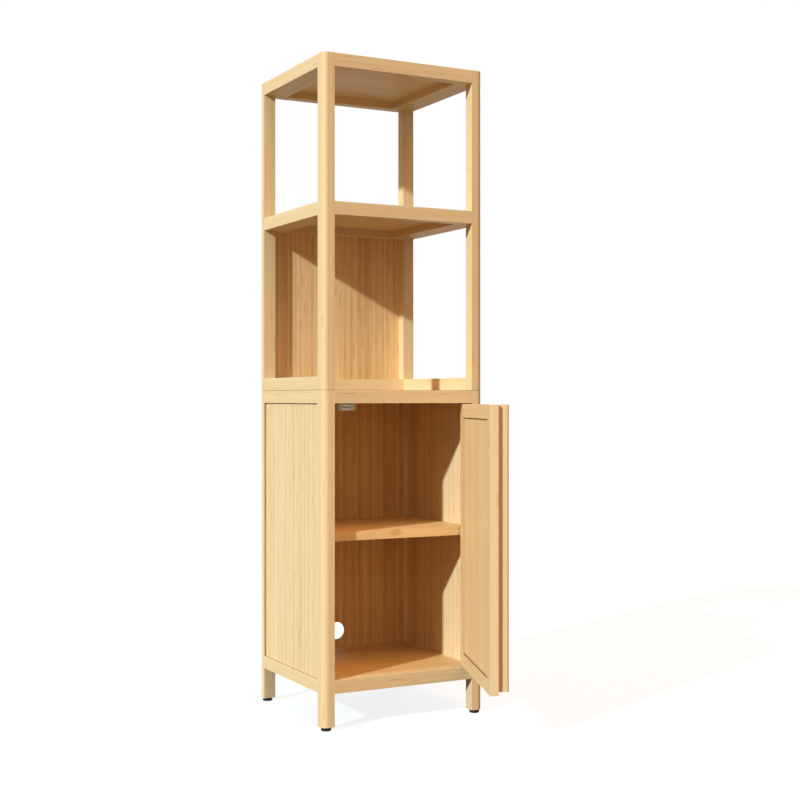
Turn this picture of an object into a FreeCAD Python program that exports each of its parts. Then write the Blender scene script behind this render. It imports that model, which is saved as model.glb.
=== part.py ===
"""Tall bamboo bathroom cabinet: a closed cupboard below, an open rack stacked on it.

Millimetres, +Z up, +X to the right as seen from the front, +Y towards the back.
The origin is on the floor, in the middle of the four posts' footprint.
Every size is a cell of the sheet, and every piece is tied to those cells by rules.
"""
import FreeCAD, Part
import os
import re
from collections import defaultdict

import Sketcher

SIZES = {
    # frame
    "width": (400, "across the posts' outer faces"),
    "depth": (362, "from the front to the back of the posts"),
    "post_size": (28, "side of a post, and thickness of every rail"),
    "corner_radius": (14, "round on a post's outer corner"),
    "rail_height": (29, "height of every rail"),
    "lower_post_length": (728, "cupboard posts"),
    "upper_post_length": (728, "rack posts"),
    "leg_clearance": (72, "from a post's lower end to the base rails"),
    "display_height": (379, "from the cupboard's top to the middle shelf's rails"),
    # boards
    "board_thickness": (11, "side and deck boards"),
    "board_recess": (5, "from a post's outer face to a side board"),
    "groove_depth": (4, "how far a board enters a rail or post"),
    "groove_clearance": (0.1, "round a board in its groove"),
    "batten_width": (30, "strips that carry the deck boards"),
    "back_thickness": (4, "back panels, flush with the posts' backs"),
    "rebate_width": (8, "how far a back panel laps over a post or rail"),
    "cable_hole_radius": (21, "hole in the cupboard's back"),
    "cable_hole_rise": (40, "hole's centre above the cupboard's floor"),
    # inner shelf
    "shelf_thickness": (20, "inner shelf"),
    "shelf_rise": (316.5, "inner shelf's top above the cupboard's floor"),
    "shelf_clearance": (0.5, "round the inner shelf"),
    "shelf_pin_radius": (2.5, "pins that carry the inner shelf"),
    "shelf_pin_reach": (10, "pin's length under the shelf"),
    "shelf_pin_wall": (3, "wood left behind a pin in the side board"),
    "shelf_pin_inset": (45, "pin's distance from the shelf's front or back edge"),
    "shelf_seat": (0.1, "between a pin and the shelf"),
    # fasteners
    "dowel_radius": (4, "wooden dowels"),
    "dowel_length": (30, "wooden dowels"),
    "dowel_wall": (1.5, "wood between a dowel and the nearest groove"),
    "dowel_web": (2, "wood between two dowels that meet in a post"),
    "dowel_end_gap": (1, "from the rail dowels' ends to the stacking dowel"),
    "hole_clearance": (0.05, "between a fastener and its hole"),
    "screw_radius": (2, "batten screw's shank"),
    "screw_bite": (15, "batten screw in the rail"),
    "screw_head_radius": (4, "batten screw's head"),
    "screw_head_height": (2.5, "batten screw's head"),
    "screw_end_distance": (50, "batten screw from the batten's end"),
    "back_screw_radius": (1.25, "back panel screw's shank"),
    "back_screw_length": (14, "back panel screw, with its head"),
    "back_screw_head_radius": (3, "back panel screw's head"),
    "back_screw_head_height": (1.5, "back panel screw's head"),
    "back_screw_end_distance": (40, "back panel screw from the nearest rail"),
    # feet
    "foot_height": (8, "pad below the post"),
    "foot_radius": (11.5, "pad"),
    "foot_round": (2, "round on the pad's lower edge"),
    "foot_stem_radius": (4, "threaded stem"),
    "foot_stem_reach": (4, "threaded stem past its sleeve"),
    "foot_stem_spare": (2, "post's hole past the stem"),
    "foot_stem_clearance": (0.05, "between the stem and its sleeve"),
    "sleeve_radius": (6, "threaded sleeve in the post"),
    "sleeve_length": (20, "threaded sleeve in the post"),
    # door
    "door_angle": (70, "angle from closed, in degrees"),
    "door_thickness": (18, "frame of the door"),
    "door_side_gap": (2, "between the door and a post"),
    "door_end_gap": (2, "between the door and a rail"),
    "door_frame_width": (30, "stiles and rails of the door"),
    "door_board_thickness": (8, "board in the door's frame"),
    "hinge_round": (6, "round that lets the hinge edge turn past the post"),
    "pull_projection": (24, "pull strip in front of the door"),
    "pull_width": (16, "pull strip along the door"),
    "pull_setback": (10, "pull strip from the door's free edge"),
    "pull_round": (5, "round on the pull strip's outer edge"),
    "pull_end_gap": (6, "pull strip's lower end above the door's"),
    # pin hinges
    "pin_radius": (3, "hinge pin"),
    "pin_inset": (11, "pin's axis from the door's hinge edge"),
    "pin_door_depth": (20, "pin's length in the door"),
    "pin_clearance": (0.05, "between the pin and its bush"),
    "bush_radius": (5, "bush's sleeve in the rail"),
    "bush_web": (1.5, "wood between a bush and the dowel beyond it"),
    "bush_floor": (1.5, "metal beyond the pin's end"),
    "bush_flange_radius": (7, "bush's washer between the door and the rail"),
    "bush_flange_play": (0.3, "between the washer and the door"),
    # magnetic catch
    "catch_length": (40, "along the rail"),
    "catch_height": (16, "below the rail"),
    "catch_depth": (14, "front to back"),
    "catch_post_distance": (18, "from the left post to the catch"),
    "catch_gap": (0.5, "between the catch and the closed door"),
    "catch_round": (1.5, "round on the catch's lower edges"),
    "magnet_length": (18, "magnet in the catch"),
    "magnet_height": (8, "magnet in the catch"),
    "magnet_depth": (10, "magnet in the catch"),
    "catch_screw_radius": (1.5, "catch screw's shank"),
    "catch_screw_bite": (10, "catch screw in the rail"),
    "catch_screw_head_radius": (3, "catch screw's head"),
    "catch_screw_head_height": (2, "catch screw's head"),
    "strike_radius": (2.5, "steel pin let into the door's upper end"),
    "strike_length": (14, "steel pin let into the door's upper end"),
    "strike_skin": (1, "wood between that pin and the door's inner face"),
}

X, Y, Z = FreeCAD.Vector(1, 0, 0), FreeCAD.Vector(0, 1, 0), FreeCAD.Vector(0, 0, 1)
SIGN = {"left": -1, "right": 1, "front": -1, "back": 1}
CORNERS = [(depthwise, sideways) for depthwise in ("front", "back") for sideways in ("left", "right")]

# Where the main levels and faces lie, as rules over the sheet's cells.
INNER_X = "(width / 2 - post_size)"
INNER_Y = "(depth / 2 - post_size)"
BASE_RAIL = "(foot_height + leg_clearance)"
FLOOR = f"({BASE_RAIL} + rail_height)"
SEAM = "(foot_height + lower_post_length)"
CUPBOARD_RAIL = f"({SEAM} - rail_height)"
MIDDLE_RAIL = f"({SEAM} + display_height)"
TOP_RAIL = f"({SEAM} + upper_post_length - rail_height)"
BOARD_INNER_X = "(width / 2 - board_recess - board_thickness)"
BACK_INNER_Y = "(depth / 2 - back_thickness)"

# Each family of rails: its level, its posts, its sides, and the edge that boards enter.
RAILS = {
    "base_rail": (BASE_RAIL, "lower_post", ("front", "back", "left", "right"), "top"),
    "cupboard_rail": (CUPBOARD_RAIL, "lower_post", ("front", "back", "left", "right"), "bottom"),
    "rack_rail": (SEAM, "upper_post", ("back", "left", "right"), "top"),
    "middle_rail": (MIDDLE_RAIL, "upper_post", ("front", "back", "left", "right"), "bottom"),
    "top_rail": (TOP_RAIL, "upper_post", ("front", "back", "left", "right"), "bottom"),
}
# Each deck: the rails it lies between.
DECKS = {
    "cupboard_floor": "base_rail",
    "cupboard_top": "cupboard_rail",
    "middle_shelf": "middle_rail",
    "rack_top": "top_rail",
}

document = FreeCAD.newDocument("TallCabinet")
sheet = document.addObject("Spreadsheet::Sheet", "Sizes")
for row, (alias, (value, meaning)) in enumerate(SIZES.items(), start=1):
    sheet.set(f"A{row}", alias)
    sheet.set(f"B{row}", str(value))
    sheet.setAlias(f"B{row}", alias)
    sheet.set(f"C{row}", meaning)
document.recompute()

finished = {}
cutters = defaultdict(list)


# ---------------------------------------------------------------- shapes

def tied(rule):
    """Turn a rule such as "width / 2" into an expression over the sheet."""
    return re.sub(r"[a-z_]+", lambda word: "Sizes." + word.group(), rule)


def bind(thing, rules):
    """Tie properties of a document object to the sheet."""
    for name, rule in rules.items():
        thing.setExpression(name, tied(rule))
    return thing


def place(thing, x="0", y="0", z="0"):
    return bind(thing, {"Placement.Base.x": x, "Placement.Base.y": y, "Placement.Base.z": z})


def block(name, size, corner):
    """A block from its lower left front corner."""
    thing = document.addObject("Part::Box", name)
    bind(thing, {"Length": size[0], "Width": size[1], "Height": size[2]})
    return place(thing, *corner)


def rod(name, radius, length, start, axis=Z):
    """A cylinder from a start point along an axis."""
    thing = document.addObject("Part::Cylinder", name)
    thing.Placement.Rotation = FreeCAD.Rotation(Z, axis)
    bind(thing, {"Radius": radius, "Height": length})
    return place(thing, *start)


def joined(name, *pieces):
    thing = document.addObject("Part::MultiFuse", name)
    thing.Shapes = list(pieces)
    return thing


def grouped(name, pieces):
    thing = document.addObject("Part::Compound", name)
    thing.Links = list(pieces)
    return thing


def cut(name, base, tools):
    thing = document.addObject("Part::Cut", name)
    thing.Base = base
    thing.Tool = grouped(name + "_tools", tools)
    return thing


def flat_sketch(body):
    """An empty sketch on the body's XY plane."""
    sketch = body.newObject("Sketcher::SketchObject", body.Name + "_section")
    plane = [item for item in body.Origin.OriginFeatures if item.Role == "XY_Plane"][0]
    sketch.AttachmentSupport = (plane, "")
    sketch.MapMode = "FlatFace"
    return sketch


def add_size(sketch, name, constraint, rule):
    """Add a named size to a sketch and tie it to the sheet."""
    sketch.renameConstraint(sketch.addConstraint(constraint), name)
    bind(sketch, {"Constraints." + name: rule})


def padded(body, sketch, height):
    """Pad the sketch upwards into the body's solid."""
    pad = body.newObject("PartDesign::Pad", body.Name + "_pad")
    pad.Profile = sketch
    bind(pad, {"Length": height})
    document.recompute()
    return body


def block_body(name, size, corner=("0", "0")):
    """A body made by padding a rectangle from its lower left corner."""
    body = document.addObject("PartDesign::Body", name)
    sketch = flat_sketch(body)
    points = [FreeCAD.Vector(*point, 0) for point in ((0, 0), (10, 0), (10, 10), (0, 10))]
    for index, point in enumerate(points):
        sketch.addGeometry(Part.LineSegment(point, points[(index + 1) % 4]))
    for index in range(4):
        sketch.addConstraint(Sketcher.Constraint("Coincident", index, 2, (index + 1) % 4, 1))
        direction = "Vertical" if index % 2 else "Horizontal"
        sketch.addConstraint(Sketcher.Constraint(direction, index))
    sketch.addConstraint(Sketcher.Constraint("Coincident", 0, 1, -1, 1))
    add_size(sketch, "across", Sketcher.Constraint("DistanceX", 0, 1, 0, 2, 10), size[0])
    add_size(sketch, "deep", Sketcher.Constraint("DistanceY", 1, 1, 1, 2, 10), size[1])
    bind(sketch, {"AttachmentOffset.Base.x": corner[0], "AttachmentOffset.Base.y": corner[1]})
    return padded(body, sketch, size[2])


def disc_body(name, radius, height):
    """A body made by padding a circle about its own origin."""
    body = document.addObject("PartDesign::Body", name)
    sketch = flat_sketch(body)
    sketch.addGeometry(Part.Circle(FreeCAD.Vector(), Z, 10))
    sketch.addConstraint(Sketcher.Constraint("Coincident", 0, 3, -1, 1))
    add_size(sketch, "radius", Sketcher.Constraint("Radius", 0, 10), radius)
    return padded(body, sketch, height)


def round_edges(body, radius, faces):
    """Round the edges that lie on all the named faces of the body's bounds.

    The faces are called XMin, XMax, YMin, YMax, ZMin and ZMax.
    """
    base = body.Tip
    bounds = base.Shape.BoundBox

    def lies_on_all(edge):
        middle = edge.CenterOfMass
        return all(
            abs(getattr(middle, face[0].lower()) - getattr(bounds, face)) < 0.01 for face in faces
        )

    edges = enumerate(base.Shape.Edges, start=1)
    fillet = body.newObject("PartDesign::Fillet", body.Name + "_round")
    fillet.Base = (base, [f"Edge{index}" for index, edge in edges if lies_on_all(edge)])
    bind(fillet, {"Radius": radius})
    document.recompute()
    return body


# ---------------------------------------------------------------- pieces

def finish(name, raw):
    """Take the piece's cutters out of it, and give it its name."""
    piece = cut(name, raw, cutters[name]) if cutters[name] else raw
    piece.Label = name
    finished[name] = piece
    return piece


def drill(names, hole, radius, length, start, axis=Z):
    """Make one hole in each of the named pieces."""
    cutter = rod(hole, f"{radius} + hole_clearance", length, start, axis)
    for name in names:
        cutters[name].append(cutter)


def screw(name, pieces, shank, head, start, axis):
    """A screw with its sunk hole in the named pieces. Shank and head are (radius, length)."""
    cylinders = {"shank": shank, "head": head}
    for part, (radius, length) in cylinders.items():
        drill(pieces, f"{name}_{part}_hole", radius, length, start, axis)
    parts = [
        rod(f"{name}_{part}", radius, length, start, axis)
        for part, (radius, length) in cylinders.items()
    ]
    return joined(name, *parts)


def grooved_board(name, neighbours, size, corner):
    """A board whose edges enter its neighbours, with the grooves or rebates that take it."""
    room = block(
        name + "_room",
        [f"{length} + 2 * groove_clearance" for length in size],
        [f"{start} - groove_clearance" for start in corner],
    )
    for neighbour in neighbours:
        cutters[neighbour].append(room)
    return block(name + "_blank", size, corner)


# ---------------------------------------------------------------- dowels
# Both dowels that enter a post from its rails end at the post's middle. One lies just
# past the groove at the rails' edge, and the other lies beyond it.

NEAR_DOWEL = "(groove_depth + dowel_wall + dowel_radius)"
FAR_DOWEL = f"({NEAR_DOWEL} + 2 * dowel_radius + dowel_web)"
STACK_X = "(width / 2 - post_size / 2 + dowel_end_gap + dowel_radius)"
STACK_Y = "(depth / 2 - post_size / 2 + dowel_end_gap + dowel_radius)"
dowels = []


def dowel(name, pieces, start, axis):
    """A dowel, and its hole in the two pieces it joins."""
    dowels.append(rod(name, "dowel_radius", "dowel_length", start, axis))
    drill(pieces, name + "_hole", "dowel_radius", "dowel_length", start, axis)


def rail_dowels(family, side):
    """One dowel in each end of a rail."""
    level, posts, _, grooved_edge = RAILS[family]
    lengthwise = side in ("front", "back")
    distance = FAR_DOWEL if lengthwise else NEAR_DOWEL
    height = f"{level} + {distance}"
    if grooved_edge == "top":
        height = f"{level} + rail_height - {distance}"
    for end in ("left", "right") if lengthwise else ("front", "back"):
        sideways, depthwise = (end, side) if lengthwise else (side, end)
        start = (
            f"{SIGN[sideways]} * (width - post_size) / 2",
            f"{SIGN[depthwise]} * (depth - post_size) / 2",
            height,
        )
        pieces = (f"{family}_{side}", f"{posts}_{depthwise}_{sideways}")
        dowel(f"{family}_{side}_dowel_{end}", pieces, start, -SIGN[end] * (X if lengthwise else Y))


for family, (_, _, sides, _) in RAILS.items():
    for side in sides:
        rail_dowels(family, side)
for depthwise, sideways in CORNERS:
    corner = f"{depthwise}_{sideways}"
    spot = (
        f"{SIGN[sideways]} * {STACK_X}",
        f"{SIGN[depthwise]} * {STACK_Y}",
        f"{SEAM} - dowel_length / 2",
    )
    dowel("stack_dowel_" + corner, ("lower_post_" + corner, "upper_post_" + corner), spot, Z)
finish("dowels", grouped("dowel_set", dowels))

# ---------------------------------------------------------------- side boards and back panels

side_board_size = (
    "board_thickness",
    f"2 * ({INNER_Y} + groove_depth)",
    f"{CUPBOARD_RAIL} - {FLOOR} + 2 * groove_depth",
)
side_board_x = {"left": f"-{BOARD_INNER_X} - board_thickness", "right": BOARD_INNER_X}
side_boards = {}
for side, start in side_board_x.items():
    side_boards[side] = grooved_board(
        "cupboard_side_" + side,
        [
            "base_rail_" + side,
            "cupboard_rail_" + side,
            "lower_post_front_" + side,
            "lower_post_back_" + side,
        ],
        side_board_size,
        (start, f"-{INNER_Y} - groove_depth", f"{FLOOR} - groove_depth"),
    )


wood_screws = []


def back_panel(name, low, high, neighbours):
    """A thin panel screwed into rebates behind the back posts and the rails above and below."""
    size = (
        f"2 * ({INNER_X} + rebate_width)",
        "back_thickness",
        f"{high} - {low} + 2 * rebate_width",
    )
    corner = (f"-{INNER_X} - rebate_width", BACK_INNER_Y, f"{low} - rebate_width")
    levels = {
        "low": f"{low} + back_screw_end_distance",
        "middle": f"({low} + {high}) / 2",
        "high": f"{high} - back_screw_end_distance",
    }
    for side, post_name in zip(("left", "right"), neighbours):
        for level, height in levels.items():
            start = (f"{SIGN[side]} * ({INNER_X} + rebate_width / 2)", "depth / 2", height)
            shank = ("back_screw_radius", "back_screw_length")
            head = ("back_screw_head_radius", "back_screw_head_height")
            screw_name = f"{name}_screw_{side}_{level}"
            wood_screws.append(screw(screw_name, (name, post_name), shank, head, start, -Y))
    return grooved_board(name, neighbours, size, corner)


cupboard_back = back_panel(
    "cupboard_back",
    FLOOR,
    CUPBOARD_RAIL,
    ("lower_post_back_left", "lower_post_back_right", "base_rail_back", "cupboard_rail_back"),
)
rack_back = back_panel(
    "rack_back",
    f"({SEAM} + rail_height)",
    MIDDLE_RAIL,
    ("upper_post_back_left", "upper_post_back_right", "rack_rail_back", "middle_rail_back"),
)
hole_centre = ("0", BACK_INNER_Y, f"{FLOOR} + cable_hole_rise")
cable_hole = rod("cable_hole", "cable_hole_radius", "back_thickness", hole_centre, Y)
cutters["cupboard_back"].append(cable_hole)
finish("cupboard_back", cupboard_back)
finish("rack_back", rack_back)

# ---------------------------------------------------------------- decks

BATTEN_HEIGHT = "(rail_height - board_thickness)"
BATTEN_X = {"left": f"-{INNER_X}", "right": f"{INNER_X} - batten_width"}


def batten(deck, side):
    """A strip along a side rail, with two screws through it into the rail."""
    name = f"{deck}_batten_{side}"
    rails = DECKS[deck]
    level = RAILS[rails][0]
    outwards = SIGN[side] * X
    for end in ("front", "back"):
        start = (
            f"{SIGN[side]} * ({INNER_X} - batten_width)",
            f"{SIGN[end]} * ({INNER_Y} - screw_end_distance)",
            f"{level} + {BATTEN_HEIGHT} / 2",
        )
        shank = ("screw_radius", "batten_width + screw_bite")
        head = ("screw_head_radius", "screw_head_height")
        pieces = (name, f"{rails}_{side}")
        wood_screws.append(screw(f"{name}_screw_{end}", pieces, shank, head, start, outwards))
    size = ("batten_width", f"2 * {INNER_Y}", BATTEN_HEIGHT)
    strip = block(name + "_blank", size, (BATTEN_X[side], f"-{INNER_Y}", level))
    return cut(name, strip, cutters[name])


for deck, rails in DECKS.items():
    board_size = (f"2 * {INNER_X}", f"2 * {INNER_Y}", "board_thickness")
    board_corner = (f"-{INNER_X}", f"-{INNER_Y}", f"{RAILS[rails][0]} + {BATTEN_HEIGHT}")
    finish(deck, block(deck + "_board", board_size, board_corner))
    pair = [batten(deck, side) for side in ("left", "right")]
    finish(deck + "_battens", grouped(deck + "_batten_pair", pair))
finish("wood_screws", grouped("wood_screw_set", wood_screws))

# ---------------------------------------------------------------- inner shelf

SHELF_HALF_X = f"({BOARD_INNER_X} - shelf_clearance)"
SHELF_HALF_Y = f"({INNER_Y} - shelf_clearance)"
SHELF_UNDERSIDE = f"({FLOOR} + shelf_rise - shelf_thickness)"
shelf_size = (f"2 * {SHELF_HALF_X}", f"2 * {SHELF_HALF_Y}", "shelf_thickness")
shelf_corner = (f"-{SHELF_HALF_X}", f"-{SHELF_HALF_Y}", SHELF_UNDERSIDE)
finish("inner_shelf", block("inner_shelf_board", shelf_size, shelf_corner))

shelf_pins = []
for depthwise, sideways in CORNERS:
    name = f"shelf_pin_{depthwise}_{sideways}"
    spot = (
        f"{SIGN[sideways]} * ({BOARD_INNER_X} + board_thickness - shelf_pin_wall)",
        f"{SIGN[depthwise]} * ({SHELF_HALF_Y} - shelf_pin_inset)",
        f"{SHELF_UNDERSIDE} - shelf_seat - shelf_pin_radius",
    )
    length = "board_thickness - shelf_pin_wall + shelf_pin_reach"
    inwards = -SIGN[sideways] * X
    shelf_pins.append(rod(name, "shelf_pin_radius", length, spot, inwards))
    drill(["cupboard_side_" + sideways], name + "_hole", "shelf_pin_radius", length, spot, inwards)
finish("shelf_pins", grouped("shelf_pin_set", shelf_pins))
for side, board in side_boards.items():
    finish("cupboard_side_" + side, board)

# ---------------------------------------------------------------- feet

STEM_LENGTH = "(sleeve_length + foot_stem_reach)"
sleeves = []
for depthwise, sideways in CORNERS:
    corner = f"{depthwise}_{sideways}"
    spot_x = f"{SIGN[sideways]} * (width - post_size) / 2"
    spot_y = f"{SIGN[depthwise]} * (depth - post_size) / 2"
    pad = disc_body("foot_pad_" + corner, "foot_radius", "foot_height")
    round_edges(pad, "foot_round", ["ZMin"])
    stem = rod("foot_stem_" + corner, "foot_stem_radius", STEM_LENGTH, ("0", "0", "foot_height"))
    place(finish("foot_" + corner, joined("foot_blank_" + corner, pad, stem)), spot_x, spot_y)

    post_end = (spot_x, spot_y, "foot_height")
    tube = rod("sleeve_tube_" + corner, "sleeve_radius", "sleeve_length", post_end)
    thread_radius = "foot_stem_radius + foot_stem_clearance"
    thread = rod("sleeve_thread_" + corner, thread_radius, "sleeve_length", post_end)
    sleeves.append(cut("sleeve_" + corner, tube, [thread]))
    hole_depth = f"{STEM_LENGTH} + foot_stem_spare"
    drill(["lower_post_" + corner], "sleeve_hole_" + corner, "sleeve_radius", hole_depth, post_end)
finish("foot_sleeves", grouped("foot_sleeve_set", sleeves))

# ---------------------------------------------------------------- door
# The door is made closed, with the hinge axis on the origin, and is then hung and opened.

PIVOT_X = f"({INNER_X} - door_side_gap - pin_inset)"
PIVOT_Y = "(door_thickness / 2 - depth / 2)"
DOOR_WIDTH = f"(2 * {INNER_X} - 2 * door_side_gap)"
DOOR_FREE = f"(pin_inset - {DOOR_WIDTH})"
DOOR_LOW = f"({FLOOR} + door_end_gap)"
DOOR_HIGH = f"({CUPBOARD_RAIL} - door_end_gap)"
DOOR_HEIGHT = f"({DOOR_HIGH} - {DOOR_LOW})"
OUTER_FACE = "-door_thickness / 2"
SLOT_WIDTH = "(door_board_thickness + 2 * groove_clearance)"
SLOT_DEPTH = "(groove_depth + groove_clearance)"
RAIL_START = f"({DOOR_FREE} + door_frame_width)"
RAIL_LENGTH = f"({DOOR_WIDTH} - 2 * door_frame_width)"
TONGUE_START = f"({RAIL_START} - groove_depth)"
TONGUE_LENGTH = f"({RAIL_LENGTH} + 2 * groove_depth)"


def finish_on_hinge(name, raw):
    """Finish a door piece that was made closed, then hang it and open it."""
    closed = finish(name, raw)
    closed.Label = name + "_closed"
    piece = grouped(name + "_opened", [closed])
    place(piece, PIVOT_X, PIVOT_Y)
    bind(piece, {"Placement.Rotation.Angle": "door_angle"})
    piece.Label = name
    finished[name] = piece


def door_slot(name, length, height, x, z):
    """A slot in a stile or rail for the door's board and the rails' tongues."""
    slot = block(name + "_slot", (length, SLOT_WIDTH, height), (x, f"-{SLOT_WIDTH} / 2", z))
    cutters[name].append(slot)


def door_rail(name, low, slot_low):
    """A rail with a tongue at each end, and a slot along one edge."""
    bar_size = (RAIL_LENGTH, "door_thickness", "door_frame_width")
    bar = block(name + "_bar", bar_size, (RAIL_START, OUTER_FACE, low))
    tongue_size = (TONGUE_LENGTH, "door_board_thickness", "door_frame_width")
    tongue = block(name + "_tongue", tongue_size, (TONGUE_START, "-door_board_thickness / 2", low))
    door_slot(name, TONGUE_LENGTH, SLOT_DEPTH, TONGUE_START, slot_low)
    return joined(name + "_blank", bar, tongue)


stile_size = ("door_frame_width", "door_thickness", DOOR_HEIGHT)
hinge_stile = block_body("hinge_stile_blank", stile_size, ("pin_inset - door_frame_width", OUTER_FACE))
round_edges(hinge_stile, "hinge_round", ("XMax", "YMin"))
place(hinge_stile, z=DOOR_LOW)
door_slot("door_stile_hinge", SLOT_DEPTH, DOOR_HEIGHT, "pin_inset - door_frame_width", DOOR_LOW)

free_stile = block("free_stile_blank", stile_size, (DOOR_FREE, OUTER_FACE, DOOR_LOW))
door_slot("door_stile_free", SLOT_DEPTH, DOOR_HEIGHT, f"{RAIL_START} - {SLOT_DEPTH}", DOOR_LOW)

lower_slot = f"{DOOR_LOW} + door_frame_width - {SLOT_DEPTH}"
lower_door_rail = door_rail("door_rail_bottom", DOOR_LOW, lower_slot)
upper_slot = f"{DOOR_HIGH} - door_frame_width"
upper_door_rail = door_rail("door_rail_top", upper_slot, upper_slot)

door_board_height = f"{DOOR_HEIGHT} - 2 * door_frame_width + 2 * groove_depth"
door_board_low = f"{DOOR_LOW} + door_frame_width - groove_depth"
door_board = block(
    "door_board_blank",
    (TONGUE_LENGTH, "door_board_thickness", door_board_height),
    (TONGUE_START, "-door_board_thickness / 2", door_board_low),
)

pull_strip = block_body(
    "pull_strip_blank",
    ("pull_width", "pull_projection", f"{DOOR_HEIGHT} - pull_end_gap"),
    (f"{DOOR_FREE} + pull_setback", f"{OUTER_FACE} - pull_projection"),
)
round_edges(pull_strip, "pull_round", ("XMin", "YMin"))
place(pull_strip, z=f"{DOOR_LOW} + pull_end_gap")

# ---------------------------------------------------------------- pin hinges

BUSH_DEPTH = f"({FAR_DOWEL} - dowel_radius - bush_web)"
FLANGE_HEIGHT = "(door_end_gap - bush_flange_play)"
HINGES = {
    "lower": (1, DOOR_LOW, FLOOR, "base_rail_front"),
    "upper": (-1, DOOR_HIGH, CUPBOARD_RAIL, "cupboard_rail_front"),
}
pins = []
bushes = []
for end, (inwards, door_end, rail_face, rail_name) in HINGES.items():
    outwards = -inwards * Z
    pin_start = ("0", "0", f"{door_end} + {inwards} * pin_door_depth")
    pin_length = f"pin_door_depth + door_end_gap + {BUSH_DEPTH} - bush_floor"
    pins.append(rod("hinge_pin_" + end, "pin_radius", pin_length, pin_start, outwards))
    drill(["door_stile_hinge"], "pin_hole_" + end, "pin_radius", pin_length, pin_start, outwards)

    on_rail = (PIVOT_X, PIVOT_Y, rail_face)
    on_flange = (PIVOT_X, PIVOT_Y, f"{rail_face} + {inwards} * {FLANGE_HEIGHT}")
    sleeve = rod("bush_sleeve_" + end, "bush_radius", BUSH_DEPTH, on_rail, outwards)
    flange = rod("bush_flange_" + end, "bush_flange_radius", FLANGE_HEIGHT, on_flange, outwards)
    bore_length = f"{FLANGE_HEIGHT} + {BUSH_DEPTH} - bush_floor"
    bore = rod("bush_bore_" + end, "pin_radius + pin_clearance", bore_length, on_flange, outwards)
    bushes.append(cut("bush_" + end, joined("bush_blank_" + end, sleeve, flange), [bore]))
    drill([rail_name], "bush_hole_" + end, "bush_radius", BUSH_DEPTH, on_rail, outwards)
finish_on_hinge("hinge_pins", grouped("hinge_pin_set", pins))
finish("hinge_bushes", grouped("hinge_bush_set", bushes))

# ---------------------------------------------------------------- magnetic catch

CATCH_X = f"(catch_post_distance - {INNER_X})"
CATCH_Y = "(door_thickness + catch_gap - depth / 2)"
CATCH_Z = f"({CUPBOARD_RAIL} - catch_height)"
STRIKE_Z = f"({DOOR_HIGH} - strike_length / 2)"

catch_body = block_body("catch_blank", ("catch_length", "catch_depth", "catch_height"))
round_edges(catch_body, "catch_round", ["ZMin"])
place(catch_body, CATCH_X, CATCH_Y, CATCH_Z)

magnet_corner = (
    f"{CATCH_X} + (catch_length - magnet_length) / 2",
    CATCH_Y,
    f"{STRIKE_Z} - magnet_height / 2",
)
magnet_size = ("magnet_length", "magnet_depth", "magnet_height")
magnet = finish("catch_magnet", block("catch_magnet_block", magnet_size, magnet_corner))
cutters["catch_body"].append(magnet)

catch_screws = []
for side in ("left", "right"):
    start = (
        f"{CATCH_X} + catch_length / 2 + {SIGN[side]} * (catch_length + magnet_length) / 4",
        f"{CATCH_Y} + catch_depth / 2",
        CATCH_Z,
    )
    shank = ("catch_screw_radius", "catch_height + catch_screw_bite")
    head = ("catch_screw_head_radius", "catch_screw_head_height")
    pieces = ("catch_body", "cupboard_rail_front")
    catch_screws.append(screw("catch_screw_" + side, pieces, shank, head, start, Z))
finish("catch_screws", grouped("catch_screw_set", catch_screws))
finish("catch_body", catch_body)

strike_spot = (
    f"{CATCH_X} + catch_length / 2 - {PIVOT_X}",
    "door_thickness / 2 - strike_skin - strike_radius",
    DOOR_HIGH,
)
strike = rod("strike_pin", "strike_radius", "strike_length", strike_spot, -Z)
drill(["door_rail_top"], "strike_hole", "strike_radius", "strike_length", strike_spot, -Z)
finish_on_hinge("catch_strike", strike)

finish_on_hinge("door_stile_hinge", hinge_stile)
finish_on_hinge("door_stile_free", free_stile)
finish_on_hinge("door_rail_bottom", lower_door_rail)
finish_on_hinge("door_rail_top", upper_door_rail)
finish_on_hinge("door_board", door_board)
finish_on_hinge("door_pull", pull_strip)

# ---------------------------------------------------------------- posts and rails

def post(name, length, level, depthwise, sideways):
    """A square post with its outer corner rounded."""
    corner = (
        f"{SIGN[sideways]} * (width - post_size) / 2 - post_size / 2",
        f"{SIGN[depthwise]} * (depth - post_size) / 2 - post_size / 2",
    )
    body = block_body(name + "_blank", ("post_size", "post_size", length), corner)
    outer_x = "XMin" if sideways == "left" else "XMax"
    outer_y = "YMin" if depthwise == "front" else "YMax"
    round_edges(body, "corner_radius", (outer_x, outer_y))
    finish(name, place(body, z=level))


def rail(name, level, side):
    """A rail between two posts, flush with their outer faces."""
    if side in ("front", "back"):
        size = (f"2 * {INNER_X}", "post_size", "rail_height")
        corner = (f"-{INNER_X}", INNER_Y if side == "back" else "-depth / 2", level)
    else:
        size = ("post_size", f"2 * {INNER_Y}", "rail_height")
        corner = (INNER_X if side == "right" else "-width / 2", f"-{INNER_Y}", level)
    finish(name, block(name + "_blank", size, corner))


for depthwise, sideways in CORNERS:
    corner = f"{depthwise}_{sideways}"
    post("lower_post_" + corner, "lower_post_length", "foot_height", depthwise, sideways)
    post("upper_post_" + corner, "upper_post_length", SEAM, depthwise, sideways)
for family, (level, _, sides, _) in RAILS.items():
    for side in sides:
        rail(f"{family}_{side}", level, side)

# ---------------------------------------------------------------- check and write

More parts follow.
